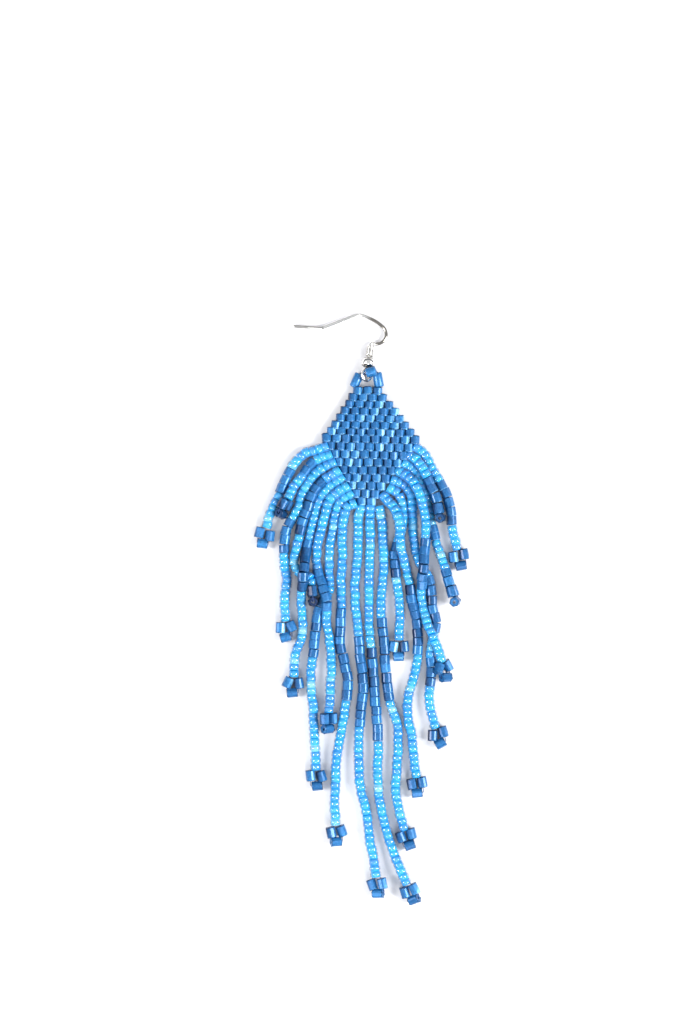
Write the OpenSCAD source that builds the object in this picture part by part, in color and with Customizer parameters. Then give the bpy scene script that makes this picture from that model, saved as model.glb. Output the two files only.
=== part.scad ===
// Beaded fringe earring on a silver ear wire, lying flat on a table. The table is z = 0,
// +Y runs up from the fringe tips to the ear wire, and +Z points away from the table.

/* [Woven diamond] */
// Distance between two beads in a row
bead_pitch = 2.2; // [2.1:0.05:2.3]
// Distance between two rows above the widest one
top_pitch = 1.55; // [1.5:0.05:1.8]
// Distance between two rows below the widest one
low_pitch = 1.75; // [1.5:0.05:1.8]
// Diameter of a woven bead
bead_d = 2.1; // [1.9:0.05:2.15]
// Length of a woven bead along its hole
bead_l = 1.5; // [1.3:0.05:1.55]
// Thickness of the thread bed that holds the woven beads together
bed_t = 1.0; // [0.6:0.1:1.6]
// Turn of the diamond on the table, in degrees
diamond_turn = -1.4; // [-3:0.2:0]

/* [Fringe] */
// Diameter of a fringe string
string_d = 1.85; // [1.6:0.05:1.85]
// Height of one string lying over another
stack_h = 2.05; // [2.0:0.05:2.3]
// Diameter of a bead in the three-bead tips
tip_bead_d = 2.1; // [1.9:0.05:2.1]
// Length of a bead in the three-bead tips
tip_bead_l = 2.3; // [2.0:0.1:2.4]
// Diameter of the hole in a bead
hole_d = 0.8; // [0.6:0.1:0.9]
// Diameter of the beading thread
thread_d = 0.3; // [0.2:0.05:0.4]

/* [Ear wire] */
// Diameter of the ear wire
wire_d = 0.75; // [0.6:0.05:0.8]
// Diameter of the small ball across the wire
ball_d = 3.2; // [2.8:0.1:3.4]
// Height of the small ball along the wire
ball_h = 2.4; // [2.0:0.1:2.6]
// Outer diameter of the coil on the shank
coil_d = 1.7; // [1.6:0.05:1.8]
// Length of the coil
coil_l = 2.7; // [2.3:0.1:2.7]
// Length of the straight tail that goes through the ear
tail_l = 5; // [4:0.1:7]

/* [Hidden] */
LEFT = 1;
RIGHT = 2;
string_r = string_d / 2;
string_sides = 8;
start_taper = 0.8;
bead_sides = 8;
bed_inset = 0.4;
bed_step = 0.2;
gap = 0.15;

// Rows of the diamond from the top: number of beads, and x of the row's middle
COUNT = 0;
MIDDLE = 1;
diamond_rows = [
    [3, 0.9], [4, 0.9], [5, 1.3], [6, 1.4], [7, 1.6], [8, 1.6], [9, 1.8], [10, 1.8],
    [9, 1.7], [8, 1.6], [7, 1.4], [6, 1.3], [5, 1.1], [4, 1.1], [3, 1], [2, 1.1]
];
widest_row = 7;
widest_x = 1.8;
widest_y = 38;
diamond_z = bead_d / 2;

// Strings of the fringe, from the left corner of the diamond round to the right corner. Each
// has the roll of its tip in degrees, and its route: x, y, and how many strings it lies over.
ROLL = 0;
ROUTE = 1;
strings = [
    [0, [[-8.6, 36.2, 0], [-10.5, 35.6, 0], [-12.7, 34.9, 0], [-15, 33, 0], [-17, 29.5, 0], [-18.5, 26, 0],
         [-20, 23, 0], [-21, 20.5, 0], [-21.5, 18.5, 0]]],
    [60, [[-7.8, 34.3, 0], [-9.4, 33.8, 0], [-11.3, 32.6, 0], [-13.2, 30.2, 0], [-15.5, 27.2, 0.3], [-16.6, 25, 0.62]]],
    [0, [[-6.8, 32.5, 0], [-8.6, 31.8, 0], [-10.4, 30.4, 0], [-12.1, 28.1, 0], [-13.7, 25.4, 0], [-14.3, 23, 0],
         [-15.2, 21, 0], [-16.8, 18.5, 0], [-17.5, 15, 0], [-17.6, 10, 0], [-17, 6.5, 0],
         [-17.5, 2, 0], [-17.3, -2.4, 0]]],
    [-85, [[-5.8, 30.7, 0], [-8.3, 29.1, 0], [-10.1, 27.5, 0], [-11.6, 24.9, 0], [-12.4, 22.4, 0],
         [-13.3, 20, 0], [-14, 17.5, 0], [-14.7, 14, 0], [-15.3, 10.5, 0], [-14.5, 8.5, 0],
         [-13.3, 7.7, 0.1], [-12.2, 7.4, 0.35], [-11.6, 6.7, 0.6], [-11.5, 5.6, 0.7]]],
    [0, [[-4.9, 29, 0], [-6.9, 27.7, 0], [-8.8, 25.7, 0], [-10.2, 23, 0], [-11.2, 19, 0],
         [-12, 15.5, 0], [-12.8, 12, 0.4], [-13.2, 9, 1.15], [-13.5, 5.5, 1.15], [-13.8, 2, 0.3],
         [-13.5, -2, 0], [-13.6, -6.5, 0], [-15, -10, 0], [-15.6, -14.5, 0]]],
    [40, [[-3.9, 27.2, 0], [-5.6, 26.1, 0], [-7.3, 24.4, 0], [-8.4, 21, 0], [-9.3, 17.5, 0],
         [-10.1, 14, 0], [-10.3, 10, 0.1], [-9.7, 7, 0.4], [-8.8, 4.5, 0.9], [-8.1, 2.2, 1.05],
         [-8, -0.2, 0.8], [-8, -3.5, 0], [-7.4, -7, 0], [-7, -12, 0], [-7.1, -17, 0.1],
         [-7.8, -22.2, 0.47]]],
    [0, [[-3, 25.4, 0], [-4.5, 24.4, 0], [-5.8, 22.4, 0], [-6.5, 18.5, 0], [-7.3, 14.5, 0],
         [-7.5, 9, 0], [-7.4, 4.5, 0], [-8.9, 1.5, 0], [-10.1, -1.5, 0], [-10.5, -5, 0],
         [-11, -9.5, 0], [-11.6, -14, 0], [-11.4, -19, 0], [-11, -23, 0], [-10.9, -27, 0],
         [-10.5, -32, 0], [-10.4, -35.4, 0]]],
    [15, [[-1.8, 23.6, 0], [-3.2, 22.9, 0], [-4.1, 20.8, 0], [-4.6, 16.5, 0], [-4.5, 12, 0],
         [-4.8, 6.5, 0], [-4.8, 1, 0], [-5, -4, 0], [-5, -8, 0], [-4, -12.5, 0], [-3.3, -16.5, 0],
         [-3.6, -20.5, 0], [-4.3, -25, 0], [-5.2, -30, 0], [-6, -35, 0], [-6.1, -40, 0],
         [-6.4, -44, 0], [-6.2, -47.5, 0.21]]],
    [-20, [[-0.5, 22.3, 0], [-1, 19.5, 0], [-1, 14.5, 0], [-1.3, 9.5, 0], [-1.7, 5, 0],
         [-1.5, 0, 0], [-1, -5, 0], [-0.6, -10.5, 0], [0.1, -16, 0], [-0.1, -21, 0],
         [-0.6, -25.5, 0], [-0.8, -31, 0], [-0.8, -36.5, 0], [-0.3, -41, 0], [0.9, -46, 0],
         [1.5, -51, 0], [2.5, -56, 0], [2.8, -59.2, 0.26]]],
    [-25, [[1.7, 22.3, 0], [1.7, 18, 0], [1.7, 13, 0], [1.5, 7.5, 0], [1.5, 1.5, 0], [1.5, -4, 0],
         [2, -9.5, 0], [2.5, -15, 0], [2.8, -20, 0], [3.3, -26, 0], [3.5, -32, 0], [3.4, -38, 0],
         [3.9, -43.5, 0], [5, -48.5, 0], [6.5, -53.5, 0], [8.5, -58.5, 0.2], [9.6, -61.2, 0.33]]],
    [0, [[3.9, 22.1, 0], [4.4, 19, 0], [4.7, 14, 0], [4.8, 9, 0], [4.3, 3.5, 0], [4.2, -1.5, 0],
         [4.7, -6.5, 0], [5.1, -12, 0], [5.6, -18, 0], [6.4, -22, 0], [7.7, -25.5, 0],
         [8, -30.5, 0], [7.7, -36, 0], [7.5, -41, 0], [8.3, -46, 0], [9.1, -49, 0]]],
    [0, [[4.9, 25, 0], [6.5, 23.2, 0.4], [7.8, 21, 0.9], [8.3, 18, 1.1], [8.5, 15, 1],
         [8.9, 12.5, 0.7], [9.8, 9, 0.1], [10.6, 5.5, 0], [11, 2, 0], [12, -2, 0], [12.4, -6.5, 0],
         [12.4, -11, 0], [11.4, -16, 0], [10.2, -20, 0], [10.2, -24.5, 0], [11.1, -29, 0],
         [11.6, -34, 0], [11.8, -36.7, 0]]],
    [0, [[6.2, 26.9, 0], [8.1, 25.7, 0], [8.8, 23.4, 0], [9.1, 20.8, 0], [8.9, 18, 0], [8, 15.2, 0],
         [7.2, 12, 0], [7.4, 8.5, 0], [8, 4, 0], [8.4, 0, 0], [8.5, -6.4, 0]]],
    [0, [[7.2, 28.6, 0], [9.3, 27.9, 0], [10.8, 25.6, 0], [11.2, 22, 0], [11.3, 18, 0],
         [11.7, 14.5, 0], [12.3, 11.5, 0], [13.6, 9, 0], [15, 6.5, 0], [15.5, 3, 0],
         [15.7, 0, 0], [16.5, -3.2, 0], [15.9, -6.2, 0], [15.3, -9.5, 0], [15.5, -14, 0],
         [15, -18.5, 0], [15.1, -22, 0], [16.3, -26, 0]]],
    [75, [[9.7, 32.3, 0], [11.3, 31.3, 0], [12.9, 29, 0], [14, 26, 0], [14.8, 22.5, 0],
         [15.4, 19.5, 0], [16.1, 16.5, 0], [17, 13.5, 0], [18.2, 10, 0.3], [19.6, 5.5, 0.69]]],
    [35, [[8.5, 30.5, 0.1], [10, 29.7, 0.5], [11.7, 27.8, 1], [12.9, 25.2, 1.05],
         [13.8, 22, 1.05], [14.2, 18.5, 1], [14.1, 15, 0.6], [13.9, 12, 0.8], [13.7, 9, 1.1],
         [13.3, 6.2, 0.7], [13.3, 2.5, 0], [13.9, -1, 0.1], [14.8, -4, 0.7], [15.7, -6.3, 1.1],
         [16.7, -8.5, 0.8], [17.6, -11.5, 0.43]]],
    [80, [[10.9, 34.1, 0], [12.3, 33.1, 0.4], [13.7, 30.9, 0.7], [15, 28, 0.6], [16.2, 25.5, 0.65],
         [16.5, 24.3, 0.7]]],
    [0, [[12.2, 35.9, 0], [14.1, 34.4, 0], [15.5, 31.5, 0], [17.3, 28.5, 0], [18.8, 25.5, 0],
         [19.8, 22.3, 0], [20.1, 18.5, 0], [21.2, 13.6, 0]]]
];

// The three-bead tip: how far beyond the string's end, and how far to the side
tip_pair_y = 1.6;
tip_pair_x = 1.35;
tip_end_y = 4.1;
tip_splay = 6;

// The bead loop over the diamond: diameter, length, and the two ends of each bead
loop_d = 2.1;
loop_short_d = 1.6;
loop_left = [[-1.85, 50.3, 1.1], [-1, 52.4, 1.1]];
loop_top = [[1.45, 52.75, 2.7], [2.4, 53.1, 2.7]];
loop_right = [[3.5, 52.7, 1.45], [3.9, 50.2, 1.1]];
loop_route = [
    [-1.93, 50.1, 1.1], [-1.85, 50.3, 1.1], [-1, 52.4, 1.1], [-0.5, 52.8, 1.3], [0.2, 52.7, 1.7],
    [0.8, 52.6, 2.2], [1.45, 52.75, 2.7], [2.4, 53.1, 2.7], [3, 53.2, 2.3], [3.5, 52.7, 1.45],
    [3.9, 50.2, 1.1], [3.93, 49.95, 1.1]
];
loop_hole_d = 1.0;

// The ear wire: its ring is centred on the frame's zero, and its shank runs along +Y
wire_r = wire_d / 2;
wire_sides = 12;
ring_r = 1.2;
ring_turn = 40;
ball_y = 2.85;
bore_r = wire_r + 0.1;
coil_y = ball_y + ball_h / 2 + 0.1;
shank_y = 6.85;
knee_r = 0.5;
crook_r = 2.1;
crest_r = 3;
heel_r = 2.4;
rise_l = 4.4;
fall_l = 7.8;
up = 90;
knee_turn = 101;
crook_turn = 169;
crest_turn = 51;
heel_turn = 27;
tail_lap = 0.3;
wire_x = 0.9;
wire_y = 52.4;
wire_turn = -7.8;
wire_tilt = -6.5;
wire_z = ball_d / 2;
coil_rings = 8;
coil_wire_d = 0.38;

string_names = [for (i = [1 : len(strings)]) str("string_", i < 10 ? "0" : "", i)];

function unit(v) = v / norm(v);

// Direction of a route at point i: the mean of the stretches that meet there
function heading(p, i) =
    unit((i == 0 ? [0, 0, 0] : unit(p[i] - p[i - 1])) + (i == len(p) - 1 ? [0, 0, 0] : unit(p[i + 1] - p[i])));

// One ring of a swept tube: corners round point c, square to direction d
function ring(c, d, r, n) =
    let (side = unit(cross(d, [0, 0, 1])), up = cross(side, d))
    [for (k = [0 : n - 1]) c + r * (cos(360 * k / n) * side + sin(360 * k / n) * up)];

// Tube along the points p, with the radius r at its first point and q at the others
module tube(p, r, q, n) {
    points = [for (i = [0 : len(p) - 1]) each ring(p[i], heading(p, i), i == 0 ? r : q, n)];
    last = (len(p) - 1) * n;
    sides = [
        for (i = [0 : len(p) - 2], k = [0 : n - 1])
        each let (a = i * n + k, b = i * n + (k + 1) % n)
        [[a, b, b + n], [a, b + n, a + n]]
    ];
    start_cap = [[for (k = [n - 1 : -1 : 0]) k]];
    end_cap = [[for (k = [0 : n - 1]) last + k]];
    polyhedron(points, concat(start_cap, sides, end_cap));
}

// Bead with a hole, along Y and centred on zero
module bead(d, l, hole) {
    rotate([90, 0, 0])
        difference() {
            cylinder(d = d, h = l, center = true, $fn = 48);
            cylinder(d = hole, h = l + 1, center = true, $fn = 32);
        }
}

// Bead with its hole from point a to point b
module bead_between(a, b, d, hole) {
    v = b - a;
    flat = norm([v.x, v.y]);
    translate((a + b) / 2)
        rotate([0, 0, atan2(v.y, v.x) - 90])
            rotate([atan2(v.z, flat), 0, 0])
                bead(d, norm(v), hole);
}

function lifted(route) = [for (p = route) [p.x, p.y, string_r + stack_h * p.z]];

// Three beads that end a string: a pair side by side, and one across below them
module tip(route, roll) {
    p = lifted(route);
    end = p[len(p) - 1];
    along = end - p[len(p) - 2];
    translate([end.x, end.y, end.z + (tip_bead_d - string_d) / 2])
        rotate([0, 0, atan2(along.y, along.x) + 90])
            rotate([0, roll, 0]) {
                for (side = [-1, 1])
                    translate([side * tip_pair_x, -tip_pair_y, 0])
                        rotate([0, 0, side * tip_splay])
                            bead(tip_bead_d, tip_bead_l, hole_d);
                translate([0, -tip_end_y, 0])
                    rotate([0, 0, 90])
                        bead(tip_bead_d - 0.1, tip_bead_l - 0.1, hole_d);
            }
}

module fringe_string(i) {
    color("deepskyblue")
        tube(lifted(strings[i][ROUTE]), string_r * start_taper, string_r, string_sides);
    color("royalblue")
        tip(strings[i][ROUTE], strings[i][ROLL]);
}

// Distance from the first row down to row i
function row_drop(i) = min(i, widest_row) * top_pitch + max(i - widest_row, 0) * low_pitch;

// The woven diamond: eight-sided beads set in a thin bed of thread
module diamond_panel() {
    color("royalblue")
        translate([widest_x, widest_y, diamond_z])
            rotate([0, 0, diamond_turn])
                for (i = [0 : len(diamond_rows) - 1])
                    translate([diamond_rows[i][MIDDLE] - widest_x, row_drop(widest_row) - row_drop(i), 0])
                        bead_row(diamond_rows[i][COUNT], i > widest_row ? low_pitch : 0, i < widest_row ? top_pitch : 0);
}

// One row of beads, whose thread bed reaches to the row above or below
module bead_row(count, above, below) {
    for (k = [0 : count - 1])
        translate([(k - (count - 1) / 2) * bead_pitch, 0, 0])
            rotate([90, 0, 0])
                rotate([0, 0, 180 / bead_sides])
                    cylinder(d = bead_d / cos(180 / bead_sides), h = bead_l, center = true, $fn = bead_sides);
    bed_w = (count - bed_inset) * bead_pitch;
    bed_top = max(above, bead_l / 2 - bed_step);
    bed_bottom = max(below, bead_l / 2 - bed_step);
    translate([-bed_w / 2, -bed_bottom, -bed_t / 2])
        cube([bed_w, bed_top + bed_bottom, bed_t]);
}

module loop_bead_left() {
    color("royalblue")
        bead_between(loop_left[0], loop_left[1], loop_d, loop_hole_d);
}

module loop_bead_top() {
    color("royalblue")
        bead_between(loop_top[0], loop_top[1], loop_short_d, loop_hole_d);
}

module loop_bead_right() {
    color("royalblue")
        bead_between(loop_right[0], loop_right[1], loop_d, loop_hole_d);
}

module loop_thread() {
    color("navy")
        tube(loop_route, thread_d / 2, thread_d / 2, 6);
}

function last(p) = p[len(p) - 1];

// Direction to the right of a heading h, in degrees from +X
function right_of(h) = [sin(h), -cos(h), 0];

function ahead(p, h, l) = p + l * [cos(h), sin(h), 0];

// Points of a bend that starts at p with the heading h, to the right (turn > 0) or the left
function bend(p, h, r, turn, n) =
    let (s = sign(turn), middle = p + s * r * right_of(h))
    [for (k = [0 : n]) middle - s * r * right_of(h - turn * k / n)];

rise_h = up - knee_turn + crook_turn;
fall_h = rise_h + crest_turn;
tail_h = fall_h - heel_turn;
knee = bend([0, shank_y, 0], up, knee_r, knee_turn, 6);
crook = bend(last(knee), up - knee_turn, crook_r, -crook_turn, 14);
crest = bend(ahead(last(crook), rise_h, rise_l), rise_h, crest_r, -crest_turn, 5);
heel = bend(ahead(last(crest), fall_h, fall_l), fall_h, heel_r, heel_turn, 3);
wire_route = concat([[0, ring_r, 0]], knee, [for (k = [1 : len(crook) - 1]) crook[k]], crest, heel);
tail_start = last(heel);

// The ear wire's own frame, tilted so that its crest comes down to the table
module wire_frame() {
    translate([wire_x, wire_y, wire_z])
        rotate([0, 0, wire_turn])
            translate([0, ball_y, 0])
                rotate([wire_tilt, 0, 0])
                    translate([0, -ball_y, 0])
                        children();
}

// The last stretch of the wire, along +Y from zero, with a rounded end
module tail() {
    rotate([-90, 0, 0])
        rotate_extrude($fn = 48) {
            square([wire_r, tail_l]);
            translate([0, tail_l])
                intersection() {
                    circle(r = wire_r, $fn = 48);
                    square(wire_r);
                }
        }
}

module ear_hook() {
    color("silver")
        wire_frame() {
            rotate([0, ring_turn, 0])
                rotate_extrude($fn = 72)
                    translate([ring_r, 0])
                        circle(r = wire_r, $fn = 32);
            tube(concat(wire_route, [ahead(tail_start, tail_h, tail_lap)]), wire_r * 0.98, wire_r * 0.98, wire_sides);
            translate(tail_start)
                rotate([0, 0, tail_h - up])
                    tail();
        }
}

module hook_ball() {
    shoulder = (ball_d - ball_h) / 2;
    color("silver")
        wire_frame()
            translate([0, ball_y, 0])
                rotate([-90, 0, 0])
                    rotate_extrude($fn = 72)
                        intersection() {
                            translate([shoulder, 0])
                                circle(d = ball_h, $fn = 72);
                            translate([bore_r, -ball_h])
                                square([ball_d, 2 * ball_h]);
                        }
}

module hook_coil() {
    ring_x = (coil_d - coil_wire_d) / 2;
    pitch = (coil_l - coil_wire_d) / (coil_rings - 1);
    color("silver")
        wire_frame()
            translate([0, coil_y, 0])
                rotate([-90, 0, 0])
                    rotate_extrude($fn = 72) {
                        for (k = [0 : coil_rings - 1])
                            translate([ring_x, coil_wire_d / 2 + k * pitch])
                                circle(d = coil_wire_d, $fn = 32);
                        translate([bore_r, coil_wire_d / 2])
                            square([ring_x - bore_r, coil_l - coil_wire_d]);
                    }
}

ear_hook();
hook_ball();
hook_coil();
loop_bead_left();
loop_bead_top();
loop_bead_right();
loop_thread();
diamond_panel();
for (i = [0 : len(strings) - 1])
    fringe_string(i);
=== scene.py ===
"""Beaded fringe earring on a pale table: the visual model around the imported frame."""

import logging
import math
import random
from bisect import bisect_right
from dataclasses import dataclass
from enum import Enum, IntEnum

import bmesh
import bpy
from mathutils import Euler, Matrix, Vector


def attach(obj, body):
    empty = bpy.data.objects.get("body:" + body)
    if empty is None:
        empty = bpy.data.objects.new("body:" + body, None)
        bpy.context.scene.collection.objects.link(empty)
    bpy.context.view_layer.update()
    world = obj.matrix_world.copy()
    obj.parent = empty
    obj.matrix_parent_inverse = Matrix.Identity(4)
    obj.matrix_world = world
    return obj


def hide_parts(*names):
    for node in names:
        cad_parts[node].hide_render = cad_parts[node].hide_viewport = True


LOG = logging.getLogger("earring")
MM = 0.001
BODY = "root"
TONE = "tone"

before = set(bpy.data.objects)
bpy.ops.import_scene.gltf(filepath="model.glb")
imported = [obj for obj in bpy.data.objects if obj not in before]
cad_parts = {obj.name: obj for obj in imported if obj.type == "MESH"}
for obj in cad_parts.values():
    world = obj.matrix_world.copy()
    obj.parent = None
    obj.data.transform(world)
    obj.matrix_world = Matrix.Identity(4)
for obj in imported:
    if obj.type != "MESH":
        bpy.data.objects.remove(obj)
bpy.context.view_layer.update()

Pair = tuple[float, float]
Point = tuple[float, float, float]
Colour = tuple[float, float, float, float]
Socket = bpy.types.NodeSocket
WHITE: Colour = (1.0, 1.0, 1.0, 1.0)
# Turn about its hole, in radians, that brings a flat face of a six-sided bead up.
FACE_UP = math.radians(30)


class Layer(IntEnum):
    """Place of each finish in a piece's list of materials."""

    GLASS = 0
    LINING = 1
    GLAZE = 2
    THREAD = 3


class BeadKind(Enum):
    """The two kinds of bead in a fringe string."""

    LINED = "lined"
    CUT = "cut"


def baked(bm: bmesh.types.BMesh, name: str) -> bpy.types.Mesh:
    """Turns a finished bmesh into a mesh.

    Args:
        bm: the bmesh, which is freed.
        name: the mesh's name.

    Returns:
        The mesh.
    """
    mesh = bpy.data.meshes.new(name)
    bm.to_mesh(mesh)
    bm.free()
    return mesh


def placed(name: str, data: bpy.types.ID) -> bpy.types.Object:
    """Puts a new object in the scene.

    Args:
        name: its name.
        data: its mesh, lamp or camera.

    Returns:
        The object.
    """
    thing = bpy.data.objects.new(name, data)
    bpy.context.scene.collection.objects.link(thing)
    return thing


def turned(degrees: float, axis: str) -> Matrix:
    """Returns a turn about X, Y or Z."""
    return Matrix.Rotation(math.radians(degrees), 4, axis)


class NodeBench:
    """Nodes of a material or a sky: its shader, and the few textures that the finishes share."""

    def __init__(self, owner: bpy.types.Material | bpy.types.World, shader: str = "Principled BSDF") -> None:
        """Takes up a new material or sky.

        Args:
            owner: the material or sky.
            shader: name of its shader node.
        """
        owner.use_nodes = True
        self.owner, self.tree = owner, owner.node_tree
        self.shader = self.tree.nodes[shader]

    def set(self, **values: float | Colour) -> None:
        """Sets inputs of the shader, named with underscores for spaces."""
        for name, value in values.items():
            self.shader.inputs[name.replace("_", " ")].default_value = value

    def link(self, output: Socket, socket: str) -> None:
        """Links an output to one of the shader's inputs."""
        self.tree.links.new(output, self.shader.inputs[socket])

    def node(self, kind: str, output: str, inputs: dict | None = None, **settings: str) -> Socket:
        """Adds a node.

        Args:
            kind: Blender's name of the node, after ShaderNode.
            output: the output that is asked for.
            inputs: value, or output of another node, for each input that is set.
            settings: the node's own settings.

        Returns:
            The output.
        """
        node = self.tree.nodes.new("ShaderNode" + kind)
        for name, value in settings.items():
            setattr(node, name, value)
        for name, value in (inputs or {}).items():
            if isinstance(value, Socket):
                self.tree.links.new(value, node.inputs[name])
            else:
                node.inputs[name].default_value = value
        return node.outputs[output]

    def tone(self) -> Socket:
        """Returns the tone of each bead, from 0 to 1."""
        return self.node("Attribute", "Fac", attribute_name=TONE)

    def noise(self, scale: float, detail: float = 3.0) -> Socket:
        """Returns noise on the piece's own coordinates, with its cells per metre and its octaves."""
        place = self.node("TexCoord", "Object")
        return self.node("TexNoise", "Fac", {"Scale": scale, "Detail": detail, "Vector": place})

    def blend(self, factor: Socket, stops: tuple[tuple[float, Colour], ...]) -> Socket:
        """Runs a factor through a ramp of colours.

        Args:
            factor: output that drives the ramp.
            stops: position and colour of each stop.

        Returns:
            The ramp's colour.
        """
        blended = self.node("ValToRGB", "Color", {"Fac": factor})
        ramp = blended.node.color_ramp
        while len(ramp.elements) < len(stops):
            ramp.elements.new(0.5)
        for element, (position, colour) in zip(ramp.elements, stops):
            element.position, element.color = position, colour
        return blended

    def veiled(self, share: float, base: Socket, veil: Socket) -> Socket:
        """Returns a colour multiplied by another one, by a share of the full effect."""
        inputs = {"Factor": share, "A": base, "B": veil}
        return self.node("Mix", "Result", inputs, data_type="RGBA", blend_type="MULTIPLY")

    def scaled(self, factor: Socket, low: float, high: float) -> Socket:
        """Returns a factor stretched from 0..1 to low..high."""
        return self.node("MapRange", "Result", {"Value": factor, "To Min": low, "To Max": high})

    def bump(self, height: Socket, strength: float, distance: float) -> None:
        """Adds a bump, with its share of the full effect and its depth in metres, to the shader."""
        inputs = {"Height": height, "Strength": strength, "Distance": distance}
        self.link(self.node("Bump", "Normal", inputs), "Normal")


@dataclass(frozen=True)
class ClearGlass:
    """Clear body of a seed bead, a thin milky film with a gloss."""

    pale: Colour = (0.12, 0.19, 0.32, 1.0)
    tinted: Colour = (0.05, 0.13, 0.27, 1.0)
    rim: Colour = (0.86, 0.92, 1.0, 1.0)
    body: float = 0.32
    roughness: float = 0.06

    def material(self) -> bpy.types.Material:
        """Makes the glass, a little more tinted from bead to bead.

        Returns:
            The material.
        """
        bench = NodeBench(bpy.data.materials.new("clear_bead_glass"))
        bench.set(
            Alpha=self.body, IOR=1.52, Roughness=self.roughness, Specular_IOR_Level=1.0, Coat_Weight=1.0,
            Coat_IOR=1.6, Coat_Roughness=0.05, Sheen_Weight=0.75, Sheen_Roughness=0.25, Sheen_Tint=self.rim,
        )
        bench.link(bench.blend(bench.tone(), ((0.0, self.pale), (1.0, self.tinted))), "Base Color")
        return bench.owner


@dataclass(frozen=True)
class SkyLining:
    """Sky blue paint round the hole of a seed bead."""

    deep: Colour = (0.006, 0.31, 0.86, 1.0)
    middle: Colour = (0.012, 0.44, 0.95, 1.0)
    bright: Colour = (0.04, 0.57, 1.0, 1.0)
    pale: Colour = (0.4, 0.84, 1.0, 1.0)
    speckle_scale: float = 2500.0

    def material(self) -> bpy.types.Material:
        """Makes the lining, with its own blue for each bead and a fine mottle.

        Returns:
            The material.
        """
        bench = NodeBench(bpy.data.materials.new("sky_blue_lining"))
        bench.set(Metallic=0.2, Roughness=0.5)
        base = bench.blend(
            bench.tone(), ((0.0, self.deep), (0.45, self.middle), (0.9, self.bright), (1.0, self.pale))
        )
        speckle = bench.blend(bench.noise(self.speckle_scale), ((0.35, (0.7, 0.7, 0.7, 1.0)), (0.7, WHITE)))
        bench.link(bench.veiled(0.6, base, speckle), "Base Color")
        return bench.owner


@dataclass(frozen=True)
class DenimGlaze:
    """Dark blue glaze of the cut beads, a little metallic, with painted shade and a painted highlight at the ends of
    its ramp.
    """

    painted_shade: Colour = (0.003, 0.012, 0.05, 1.0)
    shade: Colour = (0.009, 0.075, 0.215, 1.0)
    middle: Colour = (0.016, 0.12, 0.315, 1.0)
    light: Colour = (0.026, 0.168, 0.41, 1.0)
    painted_highlight: Colour = (0.24, 0.53, 0.79, 1.0)
    mottle_scale: float = 2600.0

    def material(self) -> bpy.types.Material:
        """Makes the glaze, with its own blue for each bead and a faint mottle.

        Returns:
            The material.
        """
        bench = NodeBench(bpy.data.materials.new("denim_blue_glaze"))
        bench.set(Metallic=0.25, Specular_IOR_Level=0.3, Coat_Weight=0.22, Coat_Roughness=0.14)
        # Tone 0 is painted shade and tone 1 a painted highlight; the stops between are each bead's own blue.
        base = bench.blend(
            bench.tone(),
            ((0.0, self.painted_shade), (0.15, self.shade), (0.5, self.middle), (0.8, self.light), (1.0, self.painted_highlight)),
        )
        mottle = bench.noise(self.mottle_scale, 4.0)
        veil = bench.blend(mottle, ((0.35, (0.5, 0.52, 0.58, 1.0)), (0.62, (1.2, 1.18, 1.12, 1.0))))
        bench.link(bench.veiled(0.7, base, veil), "Base Color")
        bench.link(bench.scaled(mottle, 0.26, 0.44), "Roughness")
        bench.bump(mottle, 0.45, 0.03 * MM)
        return bench.owner


@dataclass(frozen=True)
class BeadingThread:
    """Blue beading thread."""

    dark: Colour = (0.012, 0.03, 0.12, 1.0)
    light: Colour = (0.03, 0.08, 0.25, 1.0)
    fibre_scale: float = 9000.0

    def material(self) -> bpy.types.Material:
        """Makes the thread, with fine fibres.

        Returns:
            The material.
        """
        bench = NodeBench(bpy.data.materials.new("blue_thread"))
        bench.set(Roughness=0.7)
        fibre = bench.noise(self.fibre_scale, 5.0)
        bench.link(bench.blend(fibre, ((0.3, self.dark), (0.7, self.light))), "Base Color")
        bench.bump(fibre, 0.5, 0.02 * MM)
        return bench.owner


@dataclass(frozen=True)
class PolishedSilver:
    """Silver of the ear wire, its ball and its coil."""

    bright: Colour = (0.94, 0.925, 0.89, 1.0)
    dark_silver: Colour = (0.24, 0.22, 0.19, 1.0)
    wear_scale: float = 900.0

    def material(self) -> bpy.types.Material:
        """Makes the silver, with faint wear; a low tone is darker, used for painted dark reflection on the ear wire.

        Returns:
            The material.
        """
        bench = NodeBench(bpy.data.materials.new("polished_silver"))
        bench.set(Metallic=1.0)
        wear = bench.noise(self.wear_scale, 6.0)
        metal = bench.blend(bench.tone(), ((0.0, self.dark_silver), (1.0, self.bright)))
        veil = bench.blend(wear, ((0.35, (0.8, 0.8, 0.8, 1.0)), (0.6, WHITE)))
        bench.link(bench.veiled(0.6, metal, veil), "Base Color")
        bench.link(bench.scaled(wear, 0.07, 0.2), "Roughness")
        bench.bump(wear, 0.08, 0.02 * MM)
        return bench.owner


@dataclass(frozen=True)
class WhiteTable:
    """White table under the earring."""

    colour: Colour = (0.64, 0.635, 0.65, 1.0)
    grain_scale: float = 400.0

    def material(self) -> bpy.types.Material:
        """Makes the table's matt white.

        Returns:
            The material.
        """
        bench = NodeBench(bpy.data.materials.new("white_table"))
        bench.set(Roughness=0.8, Base_Color=self.colour)
        bench.bump(bench.noise(self.grain_scale, 2.0), 0.05, 0.02 * MM)
        return bench.owner


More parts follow.
